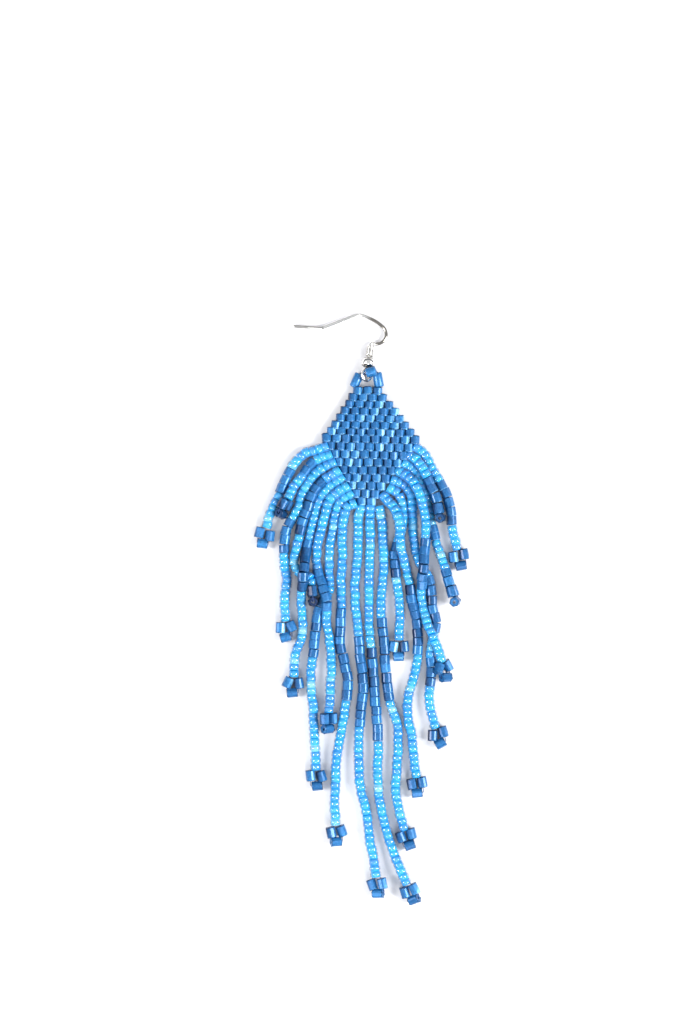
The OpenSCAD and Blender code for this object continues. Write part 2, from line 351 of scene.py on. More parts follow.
def spun_ring(bm: bmesh.types.BMesh, profile: tuple[Pair, ...], steps: int) -> list:
    """Spins a closed profile round Z.

    Args:
        bm: mesh to add to.
        profile: radius and height of each corner, in metres.
        steps: sides of the ring.

    Returns:
        The new faces.
    """
    known = set(bm.faces)
    corners = [bm.verts.new((radius, 0.0, height)) for radius, height in profile]
    edges = [bm.edges.new((a, b)) for a, b in zip(corners, corners[1:] + corners[:1])]
    bmesh.ops.spin(
        bm, geom=corners + edges, cent=(0, 0, 0), axis=(0, 0, 1), angle=math.tau, steps=steps, use_merge=True
    )
    faces = [face for face in bm.faces if face not in known]
    bmesh.ops.recalc_face_normals(bm, faces=faces)
    return faces


def spun_wire(
    bm: bmesh.types.BMesh, wire: float, sides: int, out: float, steps: int, turns: int = 1, rise: float = 0.0
) -> None:
    """Spins a round wire about Z, into a closed ring or a coil.

    Args:
        bm: empty mesh to make it in.
        wire: radius of the wire.
        sides: sides of the wire.
        out: distance of its middle from Z.
        steps: steps of the whole spin.
        turns: number of turns.
        rise: rise at each step; a ring has none.
    """
    circle = bmesh.ops.create_circle(bm, cap_ends=False, segments=sides, radius=wire)["verts"]
    bmesh.ops.transform(bm, matrix=Matrix.Translation((out, 0, 0)) @ turned(90, "X"), verts=circle)
    bmesh.ops.spin(
        bm, geom=circle + list(bm.edges), cent=(0, 0, 0), axis=(0, 0, 1), dvec=(0, 0, rise),
        angle=math.tau * turns, steps=steps, use_merge=not rise,
    )


@dataclass(frozen=True)
class SeedBeadMold:
    """Round seed bead, clear glass over a painted core, along Z and centred on zero."""

    radius: float = 1.27 * MM
    half_length: float = 0.7 * MM
    edge_round: float = 0.44 * MM
    core: float = 1.03 * MM
    core_depth: float = 2.05
    core_sides: int = 10
    sides: int = 12

    def mesh(self) -> bpy.types.Mesh:
        """Shapes the glass, and the core inside it.

        Returns:
            The bead's mesh.
        """
        bm = bmesh.new()
        bm.verts.layers.float.new(TONE)
        h = self.half_length
        bmesh.ops.create_cone(
            bm, cap_ends=True, cap_tris=False, segments=self.sides, radius1=self.radius, radius2=self.radius,
            depth=2 * h,
        )
        rims = [edge for edge in bm.edges if abs(edge.verts[0].co.z - edge.verts[1].co.z) < 0.1 * h]
        bmesh.ops.bevel(
            bm, geom=rims, offset=self.edge_round, segments=2, profile=0.5, affect="EDGES", material=-1
        )
        glass = set(bm.faces)
        bmesh.ops.create_cone(
            bm, cap_ends=True, cap_tris=False, segments=self.core_sides, radius1=self.core, radius2=self.core,
            depth=self.core_depth * h,
        )
        for face in bm.faces:
            face.material_index = Layer.GLASS if face in glass else Layer.LINING
            face.smooth = len(face.verts) == 4
        return baked(bm, "seed_bead_mold")


@dataclass(frozen=True)
class CutBeadMold:
    """Cut bead with softened edges, along Z and centred on zero; with many sides it is a round one."""

    radius: float = 1.17 * MM
    half_length: float = 0.99 * MM
    hole: float = 0.42 * MM
    sides: int = 6
    edge_round: float = 0.17 * MM
    rim_round: float = 0.14 * MM
    rim_steps: int = 2
    rims_only: bool = False

    def mesh(self) -> bpy.types.Mesh:
        """Shapes the bead.

        Returns:
            The bead's mesh.
        """
        bm = bmesh.new()
        bm.verts.layers.float.new(TONE)
        r, h = self.radius, self.half_length
        if self.hole:
            spun_ring(bm, ((self.hole, -h), (r, -h), (r, h), (self.hole, h)), self.sides)
        else:
            bmesh.ops.create_cone(
                bm, cap_ends=True, cap_tris=False, segments=self.sides, radius1=r, radius2=r, depth=2 * h,
                matrix=turned(90, "Z"),
            )
        if not self.rims_only:
            self.soften(bm, True, self.edge_round, 1)
        self.soften(bm, False, self.rim_round, self.rim_steps)
        bmesh.ops.recalc_face_normals(bm, faces=bm.faces)
        for face in bm.faces:
            face.material_index = Layer.GLAZE
            narrow = self.rims_only or face.calc_area() < 0.3 * r * h
            face.smooth = narrow and abs(face.normal.z) < 0.9
        return baked(bm, "cut_bead_mold")

    def soften(self, bm: bmesh.types.BMesh, upright: bool, offset: float, steps: int) -> None:
        """Rounds the outer edges that run along the bead, or those round its ends.

        Args:
            bm: the bead's mesh.
            upright: whether the edges along the bead are meant.
            offset: width of the rounding.
            steps: number of faces across it.
        """
        edges = [
            edge
            for edge in bm.edges
            if min(vert.co.xy.length for vert in edge.verts) > 0.7 * self.radius
            and (abs(edge.verts[0].co.z - edge.verts[1].co.z) > self.half_length) == upright
        ]
        bmesh.ops.bevel(bm, geom=edges, offset=offset, segments=steps, profile=0.5, affect="EDGES", material=-1)


class Centreline:
    """Smooth curve through a few points, measured along its length."""

    STEPS = 10

    def __init__(self, points: list[Vector]) -> None:
        """Draws the curve.

        Args:
            points: the points, in order.
        """
        ends = [2 * points[0] - points[1], *points, 2 * points[-1] - points[-2]]
        self.samples = [points[0].copy()]
        for a, b, c, d in zip(ends, ends[1:], ends[2:], ends[3:]):
            for step in range(1, self.STEPS + 1):
                t = step / self.STEPS
                self.samples.append(
                    0.5 * (2 * b + (c - a) * t + (2 * a - 5 * b + 4 * c - d) * t**2 + (3 * b - a - 3 * c + d) * t**3)
                )
        self.reach = [0.0]
        for a, b in zip(self.samples, self.samples[1:]):
            self.reach.append(self.reach[-1] + (b - a).length)
        self.length = self.reach[-1]

    def at(self, distance: float) -> tuple[Vector, Vector]:
        """Place on the curve.

        Args:
            distance: how far along the curve.

        Returns:
            The point there, and the direction of the curve.
        """
        distance = min(max(distance, 0.0), self.length)
        high = min(bisect_right(self.reach, distance), len(self.reach) - 1)
        low = high - 1
        share = (distance - self.reach[low]) / (self.reach[high] - self.reach[low])
        before, after = self.samples[max(low - 1, 0)], self.samples[min(high + 1, len(self.samples) - 1)]
        return self.samples[low].lerp(self.samples[high], share), (after - before).normalized()


class Piece:
    """One visible piece: a mesh that grows bead by bead and thread by thread."""

    RIM_SHARE = 0.88

    def __init__(self, name: str) -> None:
        """Starts an empty piece.

        Args:
            name: the piece's name.
        """
        self.name = name
        self.bm = bmesh.new()
        self.tone = self.bm.verts.layers.float.new(TONE)

    def add_mold(
        self, mold: bpy.types.Mesh, place: Matrix, tone: float, end_tone: float | None = None, painted_light_slant: float = 0.0
    ) -> None:
        """Adds a copy of a bead.

        Args:
            mold: the bead's mesh.
            place: where it goes.
            tone: its tone, from 0 to 1.
            end_tone: tone of the rim at its +Z end, if that one is paler or darker; a paler rim is a painted
                highlight.
            painted_light_slant: how much its tone rises per millimetre to the right, painted light on the right
                and painted shade on the left.
        """
        known = len(self.bm.verts)
        self.bm.from_mesh(mold)
        self.bm.verts.ensure_lookup_table()
        fresh = self.bm.verts[known:]
        rim = self.RIM_SHARE * max(vert.co.z for vert in fresh)
        # A rim tone set apart from the body's is painted on the +Z end; the paler ones are painted highlights.
        for vert in fresh:
            vert[self.tone] = tone if end_tone is None or vert.co.z < rim else end_tone
        bmesh.ops.transform(self.bm, matrix=place, verts=fresh)
        # The slant paints light on the right of each bead and shade on its left.
        for vert in fresh:
            vert[self.tone] += painted_light_slant * (vert.co.x - place.translation.x) / MM

    def add_sweep(
        self, points: list[Vector], radius: float, sides: int, layer: int, tones: tuple[float, ...] = (0.5,),
        cap: float = 0.0,
    ) -> None:
        """Sweeps a circle along points.

        Args:
            points: the route.
            radius: radius of the tube.
            sides: sides of the tube.
            layer: its place in the piece's materials.
            tones: tone of each point, from 0 to 1; the last one holds for the rest.
            cap: length of a rounded end, in metres.
        """
        bm = self.bm
        known_faces = len(bm.faces)
        along = [
            (points[min(i + 1, len(points) - 1)] - points[max(i - 1, 0)]).normalized() for i in range(len(points))
        ]
        turn = along[0].to_track_quat("Z", "Y")
        places = []
        for i, point in enumerate(points):
            if i:
                turn = along[i - 1].rotation_difference(along[i]) @ turn
            places.append(Matrix.Translation(point) @ turn.to_matrix().to_4x4())
        if cap:
            last = places[-1]
            for share in (0.5, 0.85, 1.0):
                wide = math.sqrt(max(1 - share**2, 0.02))
                places.append(last @ Matrix.Translation((0, 0, share * cap)) @ Matrix.Diagonal((wide, wide, 1, 1)))
        ring = bmesh.ops.create_circle(bm, cap_ends=False, segments=sides, radius=radius)["verts"]
        edges = list({edge for vert in ring for edge in vert.link_edges})
        bmesh.ops.transform(bm, matrix=places[0], verts=ring)
        bmesh.ops.edgeloop_fill(bm, edges=edges)
        for vert in ring:
            vert[self.tone] = tones[0]
        for step, (before, after) in enumerate(zip(places, places[1:]), start=1):
            grown = bmesh.ops.extrude_edge_only(bm, edges=edges)["geom"]
            verts = [item for item in grown if isinstance(item, bmesh.types.BMVert)]
            edges = [
                item for item in grown if isinstance(item, bmesh.types.BMEdge) and all(v in verts for v in item.verts)
            ]
            bmesh.ops.transform(bm, matrix=after @ before.inverted(), verts=verts)
            for vert in verts:
                vert[self.tone] = tones[min(step, len(tones) - 1)]
        bmesh.ops.edgeloop_fill(bm, edges=edges)
        bm.faces.ensure_lookup_table()
        faces = bm.faces[known_faces:]
        bmesh.ops.recalc_face_normals(bm, faces=faces)
        for face in faces:
            face.material_index = layer
            face.smooth = len(face.verts) == 4

    def paint(self, tone: float) -> None:
        """Gives every corner of the piece the same tone."""
        for vert in self.bm.verts:
            vert[self.tone] = tone

    def finish(self, materials: list, node: str, slot: str) -> None:
        """Turns the mesh into an object that stands for a CAD node.

        Args:
            materials: the piece's materials.
            node: the CAD node that it stands for.
            slot: the record's material slot; not used.
        """
        mesh = baked(self.bm, self.name)
        for material in materials:
            mesh.materials.append(material)
        piece = placed(self.name, mesh)
        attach(piece, BODY)
        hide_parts(node)
        LOG.info("%s: %d faces", self.name, len(mesh.polygons))


def facing(point: Vector, along: Vector, roll: float) -> Matrix:
    """Place of a bead.

    Args:
        point: middle of the bead.
        along: direction of its hole.
        roll: turn about the hole, in radians.

    Returns:
        The bead's matrix.
    """
    side = Vector((along.y, -along.x, 0)).normalized()
    turn = Matrix((side, along.cross(side), along)).transposed().to_4x4()
    return Matrix.Translation(point) @ turn @ Matrix.Rotation(roll, 4, "Z")


class Stock:
    """The finishes, and the meshes of the beads that repeat, each made once."""

    def __init__(self) -> None:
        """Makes every material and every mesh."""
        self.beadwork = [finish().material() for finish in (ClearGlass, SkyLining, DenimGlaze, BeadingThread)]
        self.silver = [PolishedSilver().material()]
        self.table = WhiteTable().material()
        self.seed = SeedBeadMold().mesh()
        self.cut = CutBeadMold(radius=1.26 * MM, hole=0.0).mesh()
        self.tip = CutBeadMold(half_length=1.2 * MM, edge_round=0.24 * MM, rim_round=0.2 * MM).mesh()
        self.woven = CutBeadMold(half_length=0.89 * MM, edge_round=0.26 * MM, rim_round=0.26 * MM).mesh()


@dataclass(frozen=True)
class Assembly:
    """A part of the scene, made from one stock."""

    stock: Stock


@dataclass(frozen=True)
class StringPlan:
    """Where one fringe string lies, in millimetres.

    Fields: the roll of its tip in degrees; its route, with x, y and how many strings it lies over,
    where there are any; the stretches of y where its beads are dark; the range of tones of its tip,
    where a low range darkens the tip (on strings 2 and 4 that is painted shade on tips lying end-on
    beneath other strings); how far it rides up on its neighbours near the diamond; and how far it
    reaches in under the diamond.
    """

    roll: float
    route: tuple[Pair | Point, ...]
    dark: tuple[Pair, ...]
    tip_tones: Pair = (0.2, 0.75)
    perch: float = 0.0
    reach: float = 0.9


# Strings 2 and 4 have low tip tones, painted shade on tips that lie end-on beneath other strings; strings 15 and 17
# have darker tips.
STRING_PLANS = (
    StringPlan(0, (
        (-8.6, 36.2), (-10.5, 35.6), (-12.7, 34.9), (-15, 33), (-17, 29.5), (-18.5, 26), (-20, 23), (-21, 20.5),
        (-21.5, 18.5),
    ), ((31.1, 25.3),)),
    StringPlan(60, (
        (-7.8, 34.3), (-9.4, 33.8), (-11.3, 32.6), (-13.2, 30.2), (-15.5, 27.2, 0.3), (-16.6, 25, 0.62),
    ), ((33.2, 29.3),), tip_tones=(0.03, 0.14)),
    StringPlan(0, (
        (-6.8, 32.5), (-8.6, 31.8), (-10.4, 30.4), (-12.1, 28.1), (-13.7, 25.4), (-14.3, 23), (-15.2, 21),
        (-16.8, 18.5), (-17.5, 15), (-17.6, 10), (-17, 6.5), (-17.5, 2), (-17.3, -2.4),
    ), ((19.7, 12.0),)),
    StringPlan(-85, (
        (-5.8, 30.7), (-8.3, 29.1), (-10.1, 27.5), (-11.6, 24.9), (-12.4, 22.4), (-13.3, 20), (-14, 17.5),
        (-14.7, 14), (-15.3, 10.5), (-14.5, 8.5), (-13.3, 7.7, 0.1), (-12.2, 7.4, 0.35), (-11.6, 6.7, 0.57),
        (-11.5, 5.6, 0.62),
    ), ((28.7, 15.4),), tip_tones=(0.0, 0.06), perch=0.55),
    StringPlan(0, (
        (-4.9, 29), (-6.9, 27.7), (-8.8, 25.7), (-10.2, 23), (-11.2, 19), (-12, 15.5), (-12.8, 12, 0.4),
        (-13.2, 9, 1.15), (-13.5, 5.5, 1.15), (-13.8, 2, 0.3), (-13.5, -2), (-13.6, -6.5), (-15, -10), (-15.4, -14.9),
    ), ((15.0, 5.0),)),
    StringPlan(40, (
        (-3.9, 27.2), (-5.6, 26.1), (-7.3, 24.4), (-8.4, 21), (-9.3, 17.5), (-10.1, 14), (-10.3, 10, 0.1),
        (-9.7, 7, 0.4), (-8.8, 4.5, 0.9), (-8.1, 2.2, 1.05), (-8, -0.2, 0.8), (-8, -3.5), (-7.4, -7), (-7, -12),
        (-7.1, -17, 0.1), (-7.5, -22.9, 0.47),
    ), ((9.1, 0.5),), perch=0.6),
    StringPlan(0, (
        (-3, 25.4), (-4.5, 24.4), (-5.8, 22.4), (-6.5, 18.5), (-7.3, 14.5), (-7.5, 9), (-7.4, 4.5), (-8.9, 1.5),
        (-10.1, -1.5), (-10.5, -5), (-11, -9.5), (-11.6, -14), (-11.4, -19), (-11, -23), (-10.9, -27), (-10.6, -32),
        (-10.5, -35.8),
    ), ((2.1, -10.9),)),
    StringPlan(15, (
        (-1.8, 23.6), (-3.2, 22.9), (-4.1, 20.8), (-4.6, 16.5), (-4.5, 12), (-4.8, 6.5), (-4.8, 1), (-5, -4),
        (-5, -8), (-4, -12.5), (-3.3, -16.5), (-3.6, -20.5), (-4.3, -25), (-5.2, -30), (-6, -35), (-6.1, -40),
        (-6.3, -44), (-6.0, -48.3, 0.21),
    ), ((-0.8, -19.9),), perch=0.5, reach=0.3),
    StringPlan(-20, (
        (-0.5, 22.3), (-1, 19.5), (-1, 14.5), (-1.3, 9.5), (-1.7, 5), (-1.5, 0), (-1, -5), (-0.6, -10.5), (0.1, -16),
        (-0.1, -21), (-0.6, -25.5), (-0.8, -31), (-0.8, -36.5), (-0.3, -41), (0.9, -46), (1.5, -51), (2.4, -56),
        (3.0, -59.9, 0.26),
    ), ((-6.9, -26.6),)),
    StringPlan(-25, (
        (1.7, 22.3), (1.7, 18), (1.7, 13), (1.5, 7.5), (1.5, 1.5), (1.5, -4), (2, -9.5), (2.5, -15), (2.8, -20),
        (3.3, -26), (3.5, -32), (3.4, -38), (3.9, -43.5), (5, -48.5), (6.5, -53.5), (8.4, -58.5, 0.2),
        (9.8, -61.6, 0.33),
    ), ((-8.6, -29.1),)),
    StringPlan(0, (
        (3.9, 22.1), (4.4, 19), (4.7, 14), (4.8, 9), (4.3, 3.5), (4.2, -1.5), (4.7, -6.5), (5.1, -12), (5.6, -18),
        (6.4, -22), (7.7, -25.5), (8, -30.5), (7.7, -36), (7.5, -41), (8.3, -46), (9.3, -49.3),
    ), ((-2.1, -19.9),)),
    StringPlan(0, (
        (4.9, 25), (6.5, 23.2, 0.4), (7.8, 21, 0.9), (8.3, 18, 1.1), (8.5, 15, 1), (8.9, 12.5, 0.7), (9.8, 9, 0.1),
        (10.6, 5.5), (11, 2), (12, -2), (12.4, -6.5), (12.4, -11), (11.4, -16), (10.2, -20), (10.2, -24.5),
        (11.1, -29), (11.6, -34), (12.0, -37.4),
    ), ((5.0, -11.1),)),
    StringPlan(0, (
        (6.2, 26.9), (8.1, 25.7), (8.8, 23.4), (9.1, 20.8), (8.9, 18), (8, 15.2), (7.2, 12), (7.4, 8.5), (8, 4),
        (8.4, 0), (8.2, -6.7),
    ), ((14.3, 7.3),), reach=0.5),
    StringPlan(0, (
        (7.2, 28.6), (9.3, 27.9), (10.8, 25.6), (11.2, 22), (11.3, 18), (11.7, 14.5), (12.3, 11.5), (13.6, 9),
        (15, 6.5), (15.5, 3), (15.7, 0), (16.5, -3.2), (15.9, -6.2), (15.3, -9.5), (15.5, -14), (15, -18.5),
        (15.1, -22), (16.4, -26.4),
    ), ((7.0, -4.5), (-12.0, -18.3))),
    StringPlan(75, (
        (9.7, 32.3), (11.3, 31.3), (12.9, 29), (14, 26), (14.8, 22.5), (15.4, 19.5), (16.1, 16.5), (17, 13.5),
        (18.2, 10, 0.3), (19.6, 5.5, 0.63),
    ), ((18.1, 14.3), (7.0, 5.0)), tip_tones=(0.15, 0.5)),
    StringPlan(35, (
        (8.5, 30.5, 0.1), (10, 29.7, 0.5), (11.7, 27.8, 1), (12.9, 25.2, 1.05), (13.8, 22, 1.05), (14.2, 18.5, 1),
        (14.1, 15, 0.6), (13.9, 12, 0.8), (13.7, 9, 1.1), (13.3, 6.2, 0.7), (13.3, 2.5), (13.9, -1, 0.1),
        (14.8, -4, 0.7), (15.7, -6.3, 1.1), (16.7, -8.5, 0.8), (17.6, -11.5, 0.43),
    ), ((15.2, 4.6),)),
    StringPlan(80, (
        (10.9, 34.1), (12.3, 33.1, 0.4), (13.7, 30.9, 0.7), (15, 28, 0.6), (16.2, 25.5, 0.65), (16.5, 24.3, 0.64),
    ), ((29.0, 24.0),), tip_tones=(0.08, 0.3)),
    StringPlan(0, (
        (12.2, 35.9), (14.1, 34.4), (15.5, 31.5), (17.3, 28.5), (18.8, 25.5), (19.8, 22.3), (20.1, 18.5),
        (21.2, 13.6),
    ), ((28.0, 18.5),)),
)


@dataclass(frozen=True)
class FringeString(Assembly):
    """One string of the fringe: seed beads, a dark stretch of cut beads, and a three-bead tip.

    Lengths are in metres, but the two shifts in millimetres; rolls about a bead's hole are in radians,
    other turns in degrees. A pair is a range, or the mean and spread of a draw.
    """

    number: int
    plan: StringPlan
    first_seed: int = 100
    rest_height: float = 1.35 * MM
    stack_height: float = 2.0 * MM
    seed_pitch: float = 1.4 * MM
    seed_spread: Pair = (0.93, 1.07)
    seed_sizes: Pair = (0.93, 1.0)
    seed_tones: Pair = (0.1, 0.98)
    seed_stretches: Pair = (0.95, 1.03)
    cut_pitch: float = 2.0 * MM
    cut_spread: Pair = (0.88, 1.16)
    cut_size: float = 0.98
    cut_stretch: float = 1.005
    cut_rolls: Pair = (0.08, 0.07)
    cut_tones: Pair = (0.12, 0.68)
    # The +Z rim of a cut bead is darker (0.0, 0.1), keeps its tone (None) or gets a painted highlight (0.95); the
    # slant paints light on the right and shade on the left.
    cut_end_tones: tuple[float | None, ...] = (0.0, 0.1, None, 0.95)
    cut_painted_light_slant: float = 0.16
    thread_radius: float = 0.08 * MM
    thread_sides: int = 6
    end_reach: float = 0.4 * MM
    tip_pair_y: float = 1.8 * MM
    tip_pair_x: float = 1.17 * MM
    tip_end_y: float = 4.05 * MM
    tip_height: float = 1.24 * MM
    tip_splay: float = 4.0
    tip_lean: float = 9.0
    tip_rolls: Pair = (0.08, 0.12)
    tip_end_rolls: Pair = (0.0, 0.2)
    tip_shift: float = 0.2
    tip_end_shift: float = 0.25
    # The tip pair's +Z rims are paler, a painted highlight, and their tone rises to the right: painted light on the
    # right and painted shade on the left.
    tip_painted_light_slant: float = 0.28
    tip_highlight_rim: float = 0.25
    flat_spread: float = 1.04
    edge_spread: float = 0.92
    edge_lean: float = 0.3
    edge_roll: float = 50.0
    tilt: float = 3.5
    wobble: float = 0.09 * MM
    crowding: float = 0.11
    crowd_reach: float = 16.0 * MM
    perch_from: float = 8.0 * MM
    perch_full: float = 15.0 * MM

    @property
    def name(self) -> str:
        """Name of the CAD node that the string stands for."""
        return f"string_{self.number:02d}"

    def centreline(self) -> Centreline:
        """Draws the curve that the string's beads lie on.

        Returns:
            The curve.
        """
        points = []
        for x, y, *lift in self.plan.route:
            share = min(max((y * MM - self.perch_from) / (self.perch_full - self.perch_from), 0.0), 1.0)
            height = self.rest_height + sum(lift) * self.stack_height + share * self.plan.perch * MM
            points.append(Vector((x * MM, y * MM, height)))
        inward = (points[0] - points[1]).normalized() * self.plan.reach * MM
        onward = (points[-1] - points[-2]).normalized() * self.end_reach
        return Centreline([points[0] + inward, *points[1:-1], points[-1] + onward])

    def kind_at(self, y: float) -> BeadKind:
        """Returns the kind of bead at a y, given in metres."""
        dark = any(low * MM <= y <= high * MM for high, low in self.plan.dark)
        return BeadKind.CUT if dark else BeadKind.LINED

    def bead_row(self, line: Centreline, dice: random.Random) -> list[tuple[BeadKind, float, float]]:
        """Shares the curve out among its beads.

        Args:
            line: the string's curve.
            dice: source of small differences.

        Returns:
            The kind, the middle and the pitch of each bead.
        """
        row, distance = [], 0.0
        while distance < line.length - 0.4 * self.seed_pitch:
            kind = self.kind_at(line.at(distance + self.cut_pitch / 2)[0].y)
            cut = kind is BeadKind.CUT
            usual = self.cut_pitch if cut else self.seed_pitch
            pitch = usual * dice.uniform(*(self.cut_spread if cut else self.seed_spread))
            row.append((kind, distance + pitch / 2, pitch))
            distance += pitch
        fit = line.length / distance
        return [(kind, middle * fit, pitch * fit) for kind, middle, pitch in row]

    def thread_beads(self, piece: Piece, line: Centreline, dice: random.Random) -> None:
        """Sets the beads on the curve.

        Args:
            piece: the piece that they join.
            line: the string's curve.
            dice: source of small differences.
        """
        for kind, middle, pitch in self.bead_row(line, dice):
            point, along = line.at(middle)
            tilt = Euler([math.radians(dice.uniform(-self.tilt, self.tilt)) for _ in range(3)]).to_matrix()
            shift = Vector([dice.uniform(-self.wobble, self.wobble) for _ in range(2)] + [0.0])
            spin = dice.uniform(0, math.tau)
            if kind is BeadKind.LINED:
                place = facing(point + shift, tilt @ along, spin)
                growth = self.crowding * max(0.0, 1.0 - middle / self.crowd_reach)
                place.translation.z += growth * self.rest_height
                size = dice.uniform(*self.seed_sizes) + growth
                long = dice.uniform(*self.seed_stretches) * pitch / self.seed_pitch
                stretch = Matrix.Diagonal((size, size, long, 1))
                piece.add_mold(self.stock.seed, place @ stretch, dice.uniform(*self.seed_tones))
            else:
                place = facing(point + shift, tilt @ along, dice.gauss(*self.cut_rolls))
                long = self.cut_stretch * pitch / self.cut_pitch
                stretch = Matrix.Diagonal((self.cut_size, self.cut_size, long, 1))
                # The end rim may be a painted highlight, and the slant paints light on the right and shade on the
                # left.
                tone, end_tone = dice.uniform(*self.cut_tones), dice.choice(self.cut_end_tones)
                piece.add_mold(self.stock.cut, place @ stretch, tone, end_tone, self.cut_painted_light_slant)

    def tie_tip(self, piece: Piece, dice: random.Random) -> None:
        """Hangs the three beads of the tip on a loop of thread.

        Args:
            piece: the piece that they join.
            dice: source of small differences.
        """
        (x0, y0, *_), (x1, y1, *lift) = self.plan.route[-2:]
        end = Vector((x1 * MM, y1 * MM, self.tip_height + sum(lift) * self.stack_height))
        heading = math.atan2(y1 - y0, x1 - x0) + math.pi / 2
        tip = Matrix.Translation(end) @ Matrix.Rotation(heading, 4, "Z") @ turned(self.plan.roll, "Y")
        edge_on = abs(self.plan.roll) > self.edge_roll
        lean = self.tip_lean * (self.edge_lean if edge_on else 1.0)
        pair = self.tip_pair_x * (self.edge_spread if edge_on else self.flat_spread)
        reach = self.tip_pair_y
        for side in (-1, 1):
            place = (
                tip
                @ Matrix.Translation((side * pair, -reach + dice.uniform(-self.tip_shift, self.tip_shift) * MM, 0))
                @ turned(side * self.tip_splay + dice.gauss(0, lean), "Z")
                @ turned(90, "X")
                @ Matrix.Rotation(dice.gauss(*self.tip_rolls), 4, "Z")
            )
            tone = dice.uniform(*self.plan.tip_tones)
            # The paler +Z rim is a painted highlight; the slant paints light on the right and shade on the left.
            piece.add_mold(self.stock.tip, place, tone, tone + self.tip_highlight_rim, self.tip_painted_light_slant)
        across = (
            tip
            @ Matrix.Translation((dice.uniform(-self.tip_end_shift, self.tip_end_shift) * MM, -self.tip_end_y, 0))
            @ turned(dice.gauss(0, lean), "Z")
            @ turned(90, "Y")
            @ Matrix.Rotation(FACE_UP + dice.gauss(*self.tip_end_rolls), 4, "Z")
        )
        piece.add_mold(self.stock.tip, across, dice.uniform(*self.plan.tip_tones))
        half = (
            (0.0, 0.6 * MM), (0.3 * pair, 0.0), (0.9 * pair, -reach + 1.1 * MM), (1.05 * pair, -reach - 1.1 * MM),
            (0.95 * pair, -self.tip_end_y),
        )
        loop = [*((-x, y) for x, y in half), (0.0, -self.tip_end_y), *reversed(half)]
        line = Centreline([tip @ Vector((x, y, 0)) for x, y in loop])
        piece.add_sweep(line.samples[::3], self.thread_radius, self.thread_sides, Layer.THREAD)

    def build(self) -> None:
        """Builds the string."""
        dice = random.Random(self.first_seed + self.number)
        piece = Piece(f"{self.name}_beads")
        line = self.centreline()
        self.thread_beads(piece, line, dice)
        piece.add_sweep(line.samples[::5] + [line.samples[-1]], self.thread_radius, self.thread_sides, Layer.THREAD)
        self.tie_tip(piece, dice)
        piece.finish(self.stock.beadwork, self.name, "string_bead")


